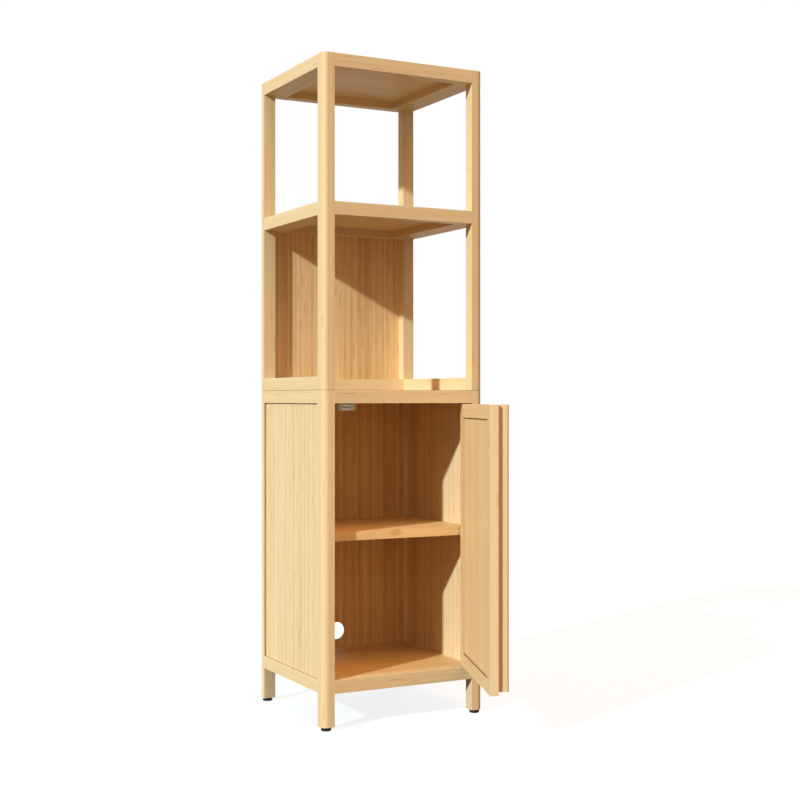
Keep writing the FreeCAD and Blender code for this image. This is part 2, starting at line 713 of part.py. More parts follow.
document.recompute()
for item in document.Objects:
    if "Invalid" in item.State or "Error" in item.State:
        raise RuntimeError(f"{item.Name} failed: {item.State}")
os.makedirs("parts", exist_ok=True)
bounds = FreeCAD.BoundBox()
for name, piece in sorted(finished.items()):
    if piece.Shape.isNull() or not piece.Shape.isValid():
        raise RuntimeError(f"{name} has no valid shape")
    piece.Shape.exportStep(f"parts/{name}.step")
    bounds.add(piece.Shape.BoundBox)
    print(f"{name}: {len(piece.Shape.Solids)} solid(s), {piece.Shape.Volume / 1000:.1f} cm3")
print(f"{len(finished)} pieces, {bounds.ZMax - bounds.ZMin:.0f} mm high")
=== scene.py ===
# %% [markdown]
# # A tall bamboo bathroom cabinet
#
# The cabinet is a closed cupboard with an open rack stacked on it. Its shapes come from the
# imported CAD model, which is already in metres and in its place, so this lesson starts with
# that model and is mostly about finishes: oiled bamboo, a little steel and black plastic.
#
# Start by loading the model. It gives one Blender object for each piece of the cabinet.

# %% Load the cabinet's pieces
import math

import bmesh
import bpy
from mathutils import Matrix, Vector


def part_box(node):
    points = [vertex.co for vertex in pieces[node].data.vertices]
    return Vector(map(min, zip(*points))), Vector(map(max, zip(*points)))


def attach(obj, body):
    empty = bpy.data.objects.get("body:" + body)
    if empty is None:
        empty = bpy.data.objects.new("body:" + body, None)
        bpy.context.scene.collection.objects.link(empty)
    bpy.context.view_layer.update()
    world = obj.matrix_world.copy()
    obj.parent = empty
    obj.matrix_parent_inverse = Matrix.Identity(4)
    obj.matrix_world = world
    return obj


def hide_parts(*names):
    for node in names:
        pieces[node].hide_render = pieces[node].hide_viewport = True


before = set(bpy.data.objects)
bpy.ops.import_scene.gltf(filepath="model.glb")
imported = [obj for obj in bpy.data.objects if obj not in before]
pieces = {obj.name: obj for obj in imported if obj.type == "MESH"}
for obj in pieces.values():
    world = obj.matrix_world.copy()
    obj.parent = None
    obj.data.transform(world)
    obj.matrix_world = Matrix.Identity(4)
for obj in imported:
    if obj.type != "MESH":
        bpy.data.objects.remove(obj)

for leftover in ("Cube", "Light", "Camera"):
    if leftover in bpy.data.objects:
        bpy.data.objects.remove(bpy.data.objects[leftover])

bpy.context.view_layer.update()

# %% [markdown]
# ## The camera
#
# The photograph was taken from the front left, with the lens at 718 mm from the floor and
# held level, so that the posts stay upright in the picture. One could turn the camera by eye,
# but straight edges in a photograph fix its place exactly: this place and lens come from
# thirty edges of the cabinet. The picture is square, 800 pixels wide.

# %% Set up the camera
CABINET_MIDDLE = Vector((0, 0, 0.73))

camera =bpy.data.objects.new("camera", bpy.data.cameras.new("camera"))
bpy.context.scene.collection.objects.link(camera)
camera.location = (-1.4130, -2.8470, 0.7178)
camera.rotation_euler = (math.radians(90), 0, math.radians(-27.703))
camera.data.sensor_width = 36
camera.data.lens = 61.29
camera.data.shift_y = -0.0021
camera.data.clip_start = 0.05
bpy.context.scene.camera = camera
print("the camera stands", round((camera.location - CABINET_MIDDLE).length, 2), "m away")

# %% [markdown]
# ## Light
#
# Sharp diagonal shadows cross the rack's back and the cupboard's right side. Their slopes
# give the key light's direction: 66 degrees to the left of the front, and 26 degrees high.
# An area lamp would blur them, so every lamp here is a sun lamp, whose rays come from one
# direction. Its width in degrees sets how soft the shadows' edges are.


# %% Hang the key light
def add_sun(name, towards, energy, width, colour):
    """Hang a sun lamp. It lies towards this direction, and its width is in degrees."""
    lamp = bpy.data.objects.new(name, bpy.data.lights.new(name, "SUN"))
    bpy.context.scene.collection.objects.link(lamp)
    lamp.rotation_mode = "QUATERNION"
    lamp.rotation_quaternion = towards.to_track_quat("Z", "Y")
    lamp.data.energy = energy
    lamp.data.angle = math.radians(width)
    lamp.data.color = colour
    print(name, "with strength", energy, "and", width, "degrees wide")


KEY_TURN, KEY_HEIGHT = math.radians(66.4), math.radians(25.6)
to_key = Vector((
    -math.sin(KEY_TURN) * math.cos(KEY_HEIGHT),
    -math.cos(KEY_TURN) * math.cos(KEY_HEIGHT),
    math.sin(KEY_HEIGHT),
))
add_sun("key light", to_key, 3.4, 2, (0.885, 0.99, 0.98))
bpy.context.scene.view_settings.view_transform = "Standard"

# %% [markdown]
# The front faces are paler in the photograph than the key light and the walls leave them, and
# yet what lies under each shelf is dark. A second light does both: a wide, warm, weak one
# from high in front, which grazes the front faces and is kept out by the shelves.

# %% Hang the fill light
add_sun("fill light", Vector((0, -0.5, 0.866)), 1.1, 30, (1.0, 0.46, 0.10))

# %% [markdown]
# The key light leaves the back and the right side in shade. The camera sees neither, but the
# cabinet is also looked at from there. A third light, wide and weak, comes from behind on the
# right, where it reaches nothing that faces the camera.

# %% Hang the back light
add_sun("back light", Vector((0.72, 0.60, 0.34)), 0.9, 30, (1.0, 0.88, 0.74))

# %% [markdown]
# ## Helpers for node trees
#
# Every finish in this lesson is a tree of nodes. One can draw such a tree by hand in the node
# editor, but a script says exactly what is in it, and can repeat it for each piece. A node
# takes several lines to add and wire, so a helper does that in one, and three more stand for
# steps that come back often.


# %% Helpers that add nodes and wire them
def add(tree, kind, inputs=None, **settings):
    """Add a node. An input is a plain value or another node's output."""
    made = tree.nodes.new("ShaderNode" + kind)
    for name, value in settings.items():
        setattr(made, name, value)
    for name, value in (inputs or {}).items():
        if isinstance(value, bpy.types.NodeSocket):
            tree.links.new(value, made.inputs[name])
        else:
            made.inputs[name].default_value = value
    return made


def maths(tree, operation, *values, clamp=False):
    """Add a Math node and return its result."""
    inputs = dict(enumerate(values))
    return add(tree, "Math", inputs, operation=operation, use_clamp=clamp).outputs[0]


def seen_directly(tree):
    """1 where the camera looks straight at a surface, or sees it in metal or through glass."""
    rays = add(tree, "LightPath").outputs
    either = maths(tree, "MAXIMUM", rays["Is Camera Ray"], rays["Is Glossy Ray"])
    return maths(tree, "MAXIMUM", either, rays["Is Transmission Ray"])


def new_finish(name):
    """A material whose node tree is still empty, and that tree."""
    finish = bpy.data.materials.new(name)
    finish.use_nodes = True
    finish.node_tree.nodes.clear()
    return finish, finish.node_tree


print("helpers for node trees: add, maths, seen_directly and new_finish")

# %% [markdown]
# ## The walls and the backdrop
#
# The world adds a dim, warm light from all sides, as pale studio walls do. Brighter walls
# would take away the dark under the shelves. What the camera sees directly, or in a shiny
# surface, is a plain white backdrop, which lights nothing.

# %% Give the world its soft light and white backdrop
world = bpy.data.worlds.new("studio")
world.use_nodes = True
bpy.context.scene.world = world
tree = world.node_tree
tree.nodes.clear()
walls = add(tree, "Background", {"Color": (1.0, 0.77, 0.59, 1), "Strength": 0.44})
backdrop = add(tree, "Background", {"Color": (1, 1, 1, 1), "Strength": 1.0})
either = add(tree, "MixShader", {0: seen_directly(tree), 1: walls.outputs[0], 2: backdrop.outputs[0]})
add(tree, "OutputWorld", {"Surface": either.outputs[0]})
print("the world has", len(tree.nodes), "nodes")

# %% [markdown]
# ## The floor
#
# The floor is a plain white sweep. A real one is lit until it vanishes into the backdrop, and
# the light that it throws back would wash out everything under the shelves. Here the floor
# throws back little. Its material adds a glow for the camera alone, so that it looks white,
# and the cabinet's shadow still shows on it. The shadow would take the warm tint of the
# walls' light, so the paper that the camera sees is tinted the other way.

# %% Make the studio paper
paper, tree = new_finish("studio paper")
grain = add(tree, "TexNoise", {"Scale": 900.0, "Detail": 3.0})
fibre = add(tree, "Bump", {"Height": grain.outputs[0], "Strength": 0.05, "Distance": 0.0002})
plain = add(tree, "BsdfDiffuse", {"Color": (0.09, 0.08, 0.07, 1), "Normal": fibre.outputs[0]})
faint = add(tree, "BsdfDiffuse", {"Color": (0.21, 0.25, 0.29, 1), "Normal": fibre.outputs[0]})
glow = add(tree, "Emission", {"Color": (1, 1, 1, 1), "Strength": 0.84})
shown = add(tree, "AddShader", {0: faint.outputs[0], 1: glow.outputs[0]})
either = add(tree, "MixShader", {0: seen_directly(tree), 1: plain.outputs[0], 2: shown.outputs[0]})
add(tree, "OutputMaterial", {"Surface": either.outputs[0]})
print("the paper has", len(tree.nodes), "nodes")

# %% [markdown]
# A real sweep curves up behind the object. A flat sheet does here, since it comes out nearly
# as bright as the backdrop. It lies half a millimetre under the feet, so that no two faces
# share a place.

# %% Lay the floor
HALF_FLOOR = 12
BELOW_THE_FEET = 0.0005

mesh = bpy.data.meshes.new("floor")
corners = [(x * HALF_FLOOR, y * HALF_FLOOR, 0) for x, y in ((-1, -1), (1, -1), (1, 1), (-1, 1))]
mesh.from_pydata(corners, [], [(0, 1, 2, 3)])
mesh.materials.append(paper)
floor = bpy.data.objects.new("floor", mesh)
bpy.context.scene.collection.objects.link(floor)
floor.location.z = -BELOW_THE_FEET
print("the floor is", 2 * HALF_FLOOR, "m wide")

# %% [markdown]
# ## Bamboo
#
# Bamboo lumber is glued up from strips of the plant's wall, about 6 mm by 19 mm, so a board
# is not one piece of wood. Each strip has its own tone, a thin glue line parts it from the
# next, and its fibres run straight along it. Where the plant had a joint, the strip carries
# a short darker fleck. A cut end shows the fibres as dots.
#
# A picture of bamboo would need a map for every piece. Here one recipe works in space: it
# takes a point of the piece, asks how far along, across and through the strips it lies, and
# works out the tone. The pattern then meets correctly round every edge. Most pieces are a pale
# straw colour. The boards inside, the back panels and the door are a little nearer to honey.


# %% Points of a piece, in its strips' own directions
HINGE = (0.159, -0.172, 0.0)
DOOR_TURN = math.radians(-70)


def turned_shut(tree, vector, centre):
    """Turn a vector of the open door back to where the door was glued up."""
    inputs = {"Vector": vector, "Center": centre, "Angle": DOOR_TURN}
    return add(tree, "VectorRotate", inputs, rotation_type="Z_AXIS").outputs[0]


def strip_space(tree, lie, on_door):
    """A point, how far it lies along, across and through, and how squarely a face cuts the strips."""
    seen = add(tree, "TexCoord").outputs
    point, facing = seen["Object"], seen["Normal"]
    if on_door:
        point = turned_shut(tree, point, HINGE)
        facing = turned_shut(tree, facing, (0, 0, 0))
    parts = add(tree, "SeparateXYZ", {0: point}).outputs
    facing = add(tree, "SeparateXYZ", {0: facing}).outputs
    along, across, through = (parts[axis] for axis in lie)
    return point, along, across, through, maths(tree, "ABSOLUTE", facing[lie[0]])


print("the door stands", round(math.degrees(-DOOR_TURN)), "degrees open")

# %% [markdown]
# Chance comes in two kinds. White noise gives each strip a number of its own, which is always
# the same for the same strip. Soft noise changes slowly from place to place. Stretched along
# the strips, it makes their streaks and fibres.


# %% Random numbers and soft noise
NOISE_STEP = (7.3, 3.1, 5.7)


def chance(tree, x, y, seed):
    """A random number for each pair of whole numbers."""
    pair = add(tree, "CombineXYZ", {0: x, 1: y, 2: float(seed)}).outputs[0]
    return add(tree, "TexWhiteNoise", {"Vector": pair}, noise_dimensions="3D").outputs["Value"]


def noise(tree, space, size, seed, detail):
    """Soft noise with patches of this size in metres, in another place for each seed."""
    scale = tuple(1 / length for length in size)
    shift = tuple(seed * step for step in NOISE_STEP)
    place = add(tree, "Mapping", {"Vector": space, "Location": shift, "Scale": scale}).outputs[0]
    return add(tree, "TexNoise", {"Vector": place, "Scale": 1.0, "Detail": detail}).outputs[0]


print("each seed shifts the soft noise by", NOISE_STEP)

# %% [markdown]
# A strip is found by dividing and rounding down: what is left over says where in the strip a
# point lies. Strips that lie behind each other are in layers, and each layer counts on from
# another number, so that no two layers match. Glue takes a fortieth of the strip's width at
# each of its edges.


# %% The strip that a point is in
STRIP_WIDTH, STRIP_DEPTH = 0.0062, 0.019
SEED_SHIFT, LAYER_SHIFT = 0.37, 0.31
LAYER_STEP = 57.0
GLUE_STARTS = 0.475


def find_strip(tree, across, through, seed):
    """A strip's number, a point's place across it from 0 to 1, and 1 where there is glue."""
    counted = maths(tree, "ADD", maths(tree, "DIVIDE", across, STRIP_WIDTH), seed * SEED_SHIFT)
    deep = maths(tree, "ADD", maths(tree, "DIVIDE", through, STRIP_DEPTH), LAYER_SHIFT)
    first = maths(tree, "MULTIPLY", maths(tree, "FLOOR", deep), LAYER_STEP)
    strip = maths(tree, "ADD", maths(tree, "FLOOR", counted), first)
    place_in_strip = maths(tree, "FRACT", counted)
    from_middle = maths(tree, "ABSOLUTE", maths(tree, "SUBTRACT", place_in_strip, 0.5))
    return strip, place_in_strip, maths(tree, "GREATER_THAN", from_middle, GLUE_STARTS)


print("a strip is", STRIP_WIDTH * 1000, "mm wide and", STRIP_DEPTH * 1000, "mm deep")

# %% [markdown]
# Here the plant has a joint every 240 mm, at a different height in each strip. A fleck is an
# oval about its joint: the squares of the two distances from its middle, taken from one. It
# doesn't show at every joint, since much of the strip's face is planed away. The spread is
# the share of the strip's width that the flecks' middles lie in.


# %% The flecks where the plant had its joints
JOINT_SPACING, HALF_FLECK_LENGTH, HALF_FLECK_WIDTH = 0.24, 0.022, 0.0013
FLECK_SPREAD = 0.6
PLANED_AWAY = 0.6


def flecks(tree, along, strip, place_in_strip, seed):
    """1 in the middle of a fleck, 0 away from it. Two joints in five have one."""
    shifted = maths(tree, "ADD", maths(tree, "DIVIDE", along, JOINT_SPACING), chance(tree, strip, 0.0, seed))
    joint = maths(tree, "FLOOR", shifted)
    from_joint = maths(tree, "SUBTRACT", maths(tree, "FRACT", shifted), 0.5)
    lengthwise = maths(tree, "MULTIPLY", from_joint, JOINT_SPACING / HALF_FLECK_LENGTH)
    off_middle = maths(tree, "SUBTRACT", chance(tree, strip, joint, seed + 1), 0.5)
    aside = maths(tree, "MULTIPLY", off_middle, FLECK_SPREAD)
    sideways = maths(tree, "SUBTRACT", place_in_strip, maths(tree, "ADD", aside, 0.5))
    sideways = maths(tree, "MULTIPLY", sideways, STRIP_WIDTH / HALF_FLECK_WIDTH)
    squares = [maths(tree, "MULTIPLY", part, part) for part in (lengthwise, sideways)]
    core = maths(tree, "SUBTRACT", 1.0, maths(tree, "ADD", *squares), clamp=True)
    there = maths(tree, "GREATER_THAN", chance(tree, strip, joint, seed + 2), PLANED_AWAY)
    return maths(tree, "MULTIPLY", core, there)


print("a fleck is at most", 2000 * HALF_FLECK_LENGTH, "mm long and", 2000 * HALF_FLECK_WIDTH, "mm wide")

# %% [markdown]
# The boards stand back a few millimetres in their frames, and the rack stands on the cupboard.
# The narrow steps round the boards and the thin gap in that joint lie in shade, which shows as
# fine dark lines. That shade is painted into the wood: their places are known, so each is a box
# in which the wood turns darker.

# %% Places where shade is painted
FAR = 1.0
CENTRE = (0, 0, 0)
SEAM_HEIGHT, HALF_SEAM = 0.736, 0.0006
# Each place: the origin that it is mirrored about, its lowest and highest corner, how dark it is.
# Painted shade: a thin line in the gap between the storeys, and the shaded steps round the side boards and
# the door's board.
STACKING_JOINT = (
    CENTRE, (-FAR, -FAR, SEAM_HEIGHT - HALF_SEAM), (FAR, FAR, SEAM_HEIGHT + HALF_SEAM), 0.8)
SIDE_RECESS = (CENTRE, (0.1952, -FAR, 0.1087), (0.1997, 0.1534, 0.7073), 0.75)
DOOR_RECESS = ((0, HINGE[1], 0), (-FAR, 0.0042, 0.1407), (0.1403, 0.0088, 0.6753), 1.0)
DOOR_RECESS_UPRIGHT = (*DOOR_RECESS[:3], 0.45)


def painted_shade_in(tree, point, shade_places):
    """How much painted shade a point gets."""
    total = 0.0
    for origin, low, high, amount in shade_places:
        middle = [(near + far) / 2 for near, far in zip(low, high)]
        half = [(far - near) / 2 for near, far in zip(low, high)]
        moved = point
        for centre in (origin, middle):
            moved = add(tree, "VectorMath", {0: moved, 1: centre}, operation="SUBTRACT").outputs[0]
            moved = add(tree, "VectorMath", {0: moved}, operation="ABSOLUTE").outputs[0]
        moved = add(tree, "VectorMath", {0: moved, 1: half}, operation="SUBTRACT").outputs[0]
        beyond = add(tree, "SeparateXYZ", {0: moved}).outputs
        furthest = maths(tree, "MAXIMUM", maths(tree, "MAXIMUM", beyond[0], beyond[1]), beyond[2])
        here = maths(tree, "MULTIPLY", maths(tree, "LESS_THAN", furthest, 0.0), amount)
        total = maths(tree, "MAXIMUM", total, here)
    return total


print("the line between the storeys is", round(2000 * HALF_SEAM, 1), "mm high")

# %% [markdown]
# A tone from 0 to 1 becomes a colour by way of a ramp, from the darkest streaks to the palest
# strips. Mixing two colours would do, but bamboo's middle tones are richer than such a mix,
# so straw and honey have a third one between. A cut end has two browns of its own, and the
# painted shade in the steps and the joint has one.

# %% Colours of bamboo
STRAW = ((0.0, (0.60, 0.375, 0.165)), (0.5, (0.79, 0.575, 0.32)), (1.0, (0.86, 0.70, 0.46)))
HONEY = ((0.0, (0.63, 0.365, 0.145)), (0.5, (0.84, 0.560, 0.275)), (1.0, (0.90, 0.67, 0.385)))
CUT_END = ((0.0, (0.40, 0.235, 0.10)), (1.0, (0.66, 0.44, 0.22)))
# The colour of the painted shade in the steps and the joint.
PAINTED_SHADE_COLOUR = (0.27, 0.145, 0.06, 1)


def colour_ramp(tree, amount, stops):
    """A colour for each amount from 0 to 1."""
    ramp = add(tree, "ValToRGB", {0: amount})
    while len(ramp.color_ramp.elements) < len(stops):
        ramp.color_ramp.elements.new(0.5)
    for element, (where, colour) in zip(ramp.color_ramp.elements, stops):
        element.position = where
        element.color = (*colour, 1)
    return ramp.outputs[0]


print("straw's middle tone is", STRAW[1][1], "and honey's is", HONEY[1][1])

# %% [markdown]
# The tone of a point starts from its board's own paleness. The strip, a slow drift along the
# board, streaks and fibres each swing it up or down, and flecks and glue lines take it down.
# A lively board has large swings. Where a strip is cut across, its fibres end in dots.


# %% Tones and cut ends
STRIP_SWING, DRIFT_SWING, STREAK_SWING, FIBRE_SWING = 0.30, 0.34, 0.62, 0.30
FLECK_DROP, GLUE_DROP = 0.5, 0.07
DOTS_PER_METRE = 1100.0


def tone_of(tree, paleness, lively, swings, fleck, glue):
    """A tone about a board's paleness. Each swing is an amount from 0 to 1, with its weight."""
    tone = paleness
    for part, weight in swings:
        swing = maths(tree, "MULTIPLY", maths(tree, "SUBTRACT", part, 0.5), weight * lively)
        tone = maths(tree, "ADD", swing, tone)
    tone = maths(tree, "SUBTRACT", tone, maths(tree, "MULTIPLY", fleck, FLECK_DROP * lively))
    return maths(tree, "SUBTRACT", tone, maths(tree, "MULTIPLY", glue, GLUE_DROP * lively), clamp=True)


def with_cut_ends(tree, colour, space, end_on):
    """The colour of a strip's side, or of its dotted end where a face cuts it."""
    dots = add(tree, "TexVoronoi", {"Vector": space, "Scale": DOTS_PER_METRE}, feature="F1")
    dots = add(tree, "MapRange", {0: dots.outputs["Distance"], 1: 0.15, 2: 0.5, 3: 0.0, 4: 1.0}).outputs[0]
    cut = add(tree, "MapRange", {0: end_on, 1: 0.75, 2: 0.95, 3: 0.0, 4: 1.0}).outputs[0]
    ends = colour_ramp(tree, dots, CUT_END)
    return add(tree, "Mix", {0: cut, 6: colour, 7: ends}, data_type="RGBA").outputs[2]


print("there is a fibre's dot about every", round(1000 / DOTS_PER_METRE, 1), "mm")

# %% [markdown]
# The whole recipe puts these together. Fibres stand up a little, and the glue lines lie a
# little lower, which gives the bump. Roughness follows the same height, since oil dries
# smoother between the fibres. An edge is worn: paler and smoother than a face.


# %% The bamboo recipe
# How wide, deep and long the patches of each noise are.
DRIFT_SIZE = (0.05, 0.05, 0.4)
STREAK_SIZE = (0.0022, 0.0022, 0.11)
FIBRE_SIZE = (0.00035, 0.00035, 0.016)
# How much paler a face or an edge is, and its range of roughness.
FACE_WEAR, EDGE_WEAR = (0.0, (0.46, 0.60)), (0.2, (0.36, 0.48))
FIBRE_RISE, STREAK_RISE, GLUE_SINK = 0.6, 0.4, 0.35
# The painted shade follows the streak noise, plus this even share.
EVEN_SHADE_SHARE = 0.45


def bamboo(name, wear, lie, seed, shades, paleness, lively, on_door, shade_places):
    """Oiled bamboo. lie gives the axes that run along, across and through its strips."""
    finish, tree = new_finish(name)
    paler, (smoothest, roughest) = wear
    point, along, across, through, end_on = strip_space(tree, lie, on_door)
    space = add(tree, "CombineXYZ", {0: across, 1: through, 2: along}).outputs[0]

    strip, place_in_strip, glue = find_strip(tree, across, through, seed)
    strip_tone = chance(tree, strip, 1.0, seed)
    drift = noise(tree, space, DRIFT_SIZE, seed, detail=1.0)
    streak = noise(tree, space, STREAK_SIZE, seed + 1, detail=3.0)
    fibre = noise(tree, space, FIBRE_SIZE, seed + 2, detail=2.0)
    fleck = flecks(tree, along, strip, place_in_strip, seed + 3)
    swings = (
        (strip_tone, STRIP_SWING), (drift, DRIFT_SWING), (streak, STREAK_SWING), (fibre, FIBRE_SWING))
    tone = tone_of(tree, paleness + paler, lively, swings, fleck, glue)
    colour = with_cut_ends(tree, colour_ramp(tree, tone, shades), space, end_on)
    # Painted shade: the wood turns darker inside the listed boxes, more where the streak noise is high.
    if shade_places:
        patchy = maths(tree, "ADD", streak, EVEN_SHADE_SHARE)
        shade_amount = maths(tree, "MULTIPLY", painted_shade_in(tree, point, shade_places), patchy, clamp=True)
        colour = add(tree, "Mix", {0: shade_amount, 6: colour, 7: PAINTED_SHADE_COLOUR}, data_type="RGBA").outputs[2]

    rises = maths(tree, "MULTIPLY", fibre, FIBRE_RISE), maths(tree, "MULTIPLY", streak, STREAK_RISE)
    height = maths(tree, "SUBTRACT", maths(tree, "ADD", *rises), maths(tree, "MULTIPLY", glue, GLUE_SINK))
    rough = add(tree, "MapRange", {0: height, 1: 0.2, 2: 0.8, 3: smoothest, 4: roughest}).outputs[0]
    bump = add(tree, "Bump", {"Height": height, "Strength": 0.22, "Distance": 0.0003})
    shader = add(tree, "BsdfPrincipled", {
        "Base Color": colour,
        "Roughness": rough,
        "Normal": bump.outputs[0],
        "Specular IOR Level": 0.22,
    })
    add(tree, "OutputMaterial", {"Surface": shader.outputs[0]})
    return finish


print("an edge is paler than its face by", EDGE_WEAR[0] - FACE_WEAR[0])

# %% [markdown]
# ## Eased edges
#
# Nobody leaves bamboo with sharp edges: each one is sanded to a tiny round, which catches the
# light and wears paler. The CAD pieces have true sharp edges, and their meshes arrive with
# every face apart. A rounded edge could be built anew, but a stack of modifiers does it and
# leaves the piece as it is: weld the faces, join flat ones, bevel what is still sharp, and
# shade by the flat faces. The bevel's new faces get the worn finish.


# %% Ease the edges of a piece
BAMBOO_EASE, TOUCHING = 0.0004, 0.00001
FLAT_WITHIN, SHARP_FROM = math.radians(0.4), math.radians(40)


def ease_edges(piece, width):
    """Round a piece's sharp edges a little. The rounds take the piece's second finish."""
    weld = piece.modifiers.new("weld", "WELD")
    weld.merge_threshold = TOUCHING
    flats = piece.modifiers.new("flats", "DECIMATE")
    flats.decimate_type = "DISSOLVE"
    flats.angle_limit = FLAT_WITHIN
    round_over = piece.modifiers.new("eased edges", "BEVEL")
    round_over.width = width
    round_over.segments = 2
    round_over.limit_method = "ANGLE"
    round_over.angle_limit = SHARP_FROM
    round_over.material = 1
    piece.modifiers.new("flat shading", "WEIGHTED_NORMAL")


print("edges of bamboo are eased by", BAMBOO_EASE * 1000, "mm")

# %% [markdown]
# ## Which way the strips lie
#
# Strips run along posts and rails, as they must to be strong. The side boards, the back
# panels and the door have them upright. The decks and the inner shelf have them from left to
# right. Posts of the cupboard and of the rack are cut from different lengths, so the pattern
# doesn't cross the joint between the two storeys. Frames are cut from calmer material than
# boards.


# %% List the bamboo finishes
ALONG_X, ALONG_Y, FLAT = (0, 2, 1), (1, 2, 0), (0, 1, 2)
UPRIGHT, UPRIGHT_SIDE = (2, 0, 1), (2, 1, 0)
FRAME_SHADE_PLACES = (SIDE_RECESS, STACKING_JOINT)
BATTENS = ("cupboard_floor_battens", "cupboard_top_battens", "middle_shelf_battens", "rack_top_battens")


def rails(*sides):
    """The names of the rails on these sides, at every level."""
    levels = ("base", "cupboard", "rack", "middle", "top")
    return tuple(f"{level}_rail_{side}" for level in levels for side in sides)


# Each row: finish, lie, shades, how pale, how lively, on the door or not, where shade is painted,
# and how its pieces' names start. A piece takes the first row that fits its name.
BAMBOO = (
    ("cupboard post bamboo", UPRIGHT, STRAW, 0.55, 0.7, False, FRAME_SHADE_PLACES, ("lower_post",)),
    ("rack post bamboo", UPRIGHT, STRAW, 0.55, 0.7, False, FRAME_SHADE_PLACES, ("upper_post",)),
    ("cross rail bamboo", ALONG_X, STRAW, 0.55, 0.7, False, FRAME_SHADE_PLACES, rails("front", "back")),
    ("side rail bamboo", ALONG_Y, STRAW, 0.58, 0.7, False, FRAME_SHADE_PLACES, rails("left", "right")),
    ("batten bamboo", ALONG_Y, STRAW, 0.50, 0.8, False, (), BATTENS),
    # The cupboard's floor is made darker than the other boards: painted shade, for the dim inside of the
    # cupboard.
    ("cupboard floor bamboo", FLAT, HONEY, 0.30, 1.0, False, (), ("cupboard_floor",)),
    ("deck bamboo", FLAT, STRAW, 0.50, 1.0, False, (), ("cupboard_top", "middle_shelf", "rack_top")),
    ("inner shelf bamboo", FLAT, HONEY, 0.42, 1.0, False, (), ("inner_shelf",)),
    ("side board bamboo", UPRIGHT_SIDE, STRAW, 0.58, 1.35, False, (), ("cupboard_side",)),
    # The cupboard's back is the darkest board: painted shade, for the dim inside of the cupboard.
    ("cupboard back bamboo", UPRIGHT, HONEY, 0.24, 1.4, False, (), ("cupboard_back",)),
    ("rack back bamboo", UPRIGHT, HONEY, 0.42, 1.6, False, (), ("rack_back",)),
    ("hinge stile bamboo", UPRIGHT, HONEY, 0.57, 0.7, True, (DOOR_RECESS_UPRIGHT,), ("door_stile_hinge",)),
    ("free stile bamboo", UPRIGHT, STRAW, 0.57, 0.7, True, (DOOR_RECESS_UPRIGHT,), ("door_stile_free",)),
    ("door rail bamboo", ALONG_X, HONEY, 0.60, 0.7, True, (DOOR_RECESS,), ("door_rail",)),
    ("door board bamboo", UPRIGHT, HONEY, 0.62, 1.0, True, (), ("door_board",)),
    ("pull strip bamboo", UPRIGHT, STRAW, 0.57, 0.7, True, (), ("door_pull",)),
)
print(len(BAMBOO), "finishes of bamboo")

# %% [markdown]
# Each row makes two materials, a face and a worn edge. One for each piece would be too many,
# and one for all would bring the same strips to each board, so pieces of a kind share a row.


# %% Finish every bamboo piece
def set_finishes(piece, *finishes):
    """Give a piece these finishes in place of the ones it came with."""
    piece.data.materials.clear()
    for finish in finishes:
        piece.data.materials.append(finish)


finished = set()
for seed, (name, lie, *look, starts) in enumerate(BAMBOO, start=1):
    face = bamboo(name, FACE_WEAR, lie, seed, *look)
    edge = bamboo(name + ", worn edge", EDGE_WEAR, lie, seed, *look)
    for node_name, piece in sorted(pieces.items()):
        if node_name not in finished and node_name.startswith(starts):
            set_finishes(piece, face, edge)
            ease_edges(piece, BAMBOO_EASE)
            finished.add(node_name)
print(len(finished), "bamboo pieces are finished")

# %% [markdown]
# ## Beech dowels, steel, plastic and the magnet
#
# Dowels are turned from beech, which is closer and pinker than bamboo, with short dark rays.
# Pins, sleeves and the catch's screws are bright steel with fine turning lines. The hinge
# bushes are blackened, and the wood screws are plated with yellow zinc, as they often are in
# bamboo furniture, so that neither catches the eye. The feet are black plastic with a slightly
# pitted mould surface, and the catch is pale grey plastic. Each recipe starts from noise in
# the right direction and size, and drives colour, roughness and bump from it.


# %% A helper for simpler finishes
COARSER = 9
COARSE_SEED, FINE_SEED = 4, 9
COARSE_SHARE, FINE_SHARE = 0.4, 0.6


def simple_finish(name, size, dark, pale, roughness, relief, **constants):
    """A finish from one noise: its two colours, its range of roughness and its bump's height."""
    finish, tree = new_finish(name)
    point = add(tree, "TexCoord").outputs["Object"]
    coarse = noise(tree, point, [length * COARSER for length in size], COARSE_SEED, detail=2.0)
    fine = noise(tree, point, size, FINE_SEED, detail=3.0)
    shares = maths(tree, "MULTIPLY", fine, FINE_SHARE), maths(tree, "MULTIPLY", coarse, COARSE_SHARE)
    blend = maths(tree, "ADD", *shares)
    spread = add(tree, "MapRange", {0: blend, 1: 0.32, 2: 0.68, 3: 0.0, 4: 1.0}).outputs[0]
    rough = add(tree, "MapRange", {0: fine, 1: 0.3, 2: 0.7, 3: roughness[0], 4: roughness[1]}).outputs[0]
    bump = add(tree, "Bump", {"Height": fine, "Strength": 0.3, "Distance": relief})
    shader = add(tree, "BsdfPrincipled", {
        "Base Color": colour_ramp(tree, spread, ((0.0, dark), (1.0, pale))),
        "Roughness": rough,
        "Normal": bump.outputs[0],
    })
    for socket, value in constants.items():
        shader.inputs[socket.replace("_", " ")].default_value = value
    add(tree, "OutputMaterial", {"Surface": shader.outputs[0]})
    return finish


beech = simple_finish(
    "beech dowel", (0.0006, 0.0006, 0.004), dark=(0.66, 0.47, 0.31), pale=(0.82, 0.64, 0.45),
    roughness=(0.55, 0.7), relief=0.0002)
print(beech.name, "has", len(beech.node_tree.nodes), "nodes")

# %% [markdown]
# The three metals share their turning lines, which are fine upwards and long sideways, and
# differ in colour and in how dull they are. A metal needs no other recipe than a plastic
# does: it takes the same one, with its metallic value at one.

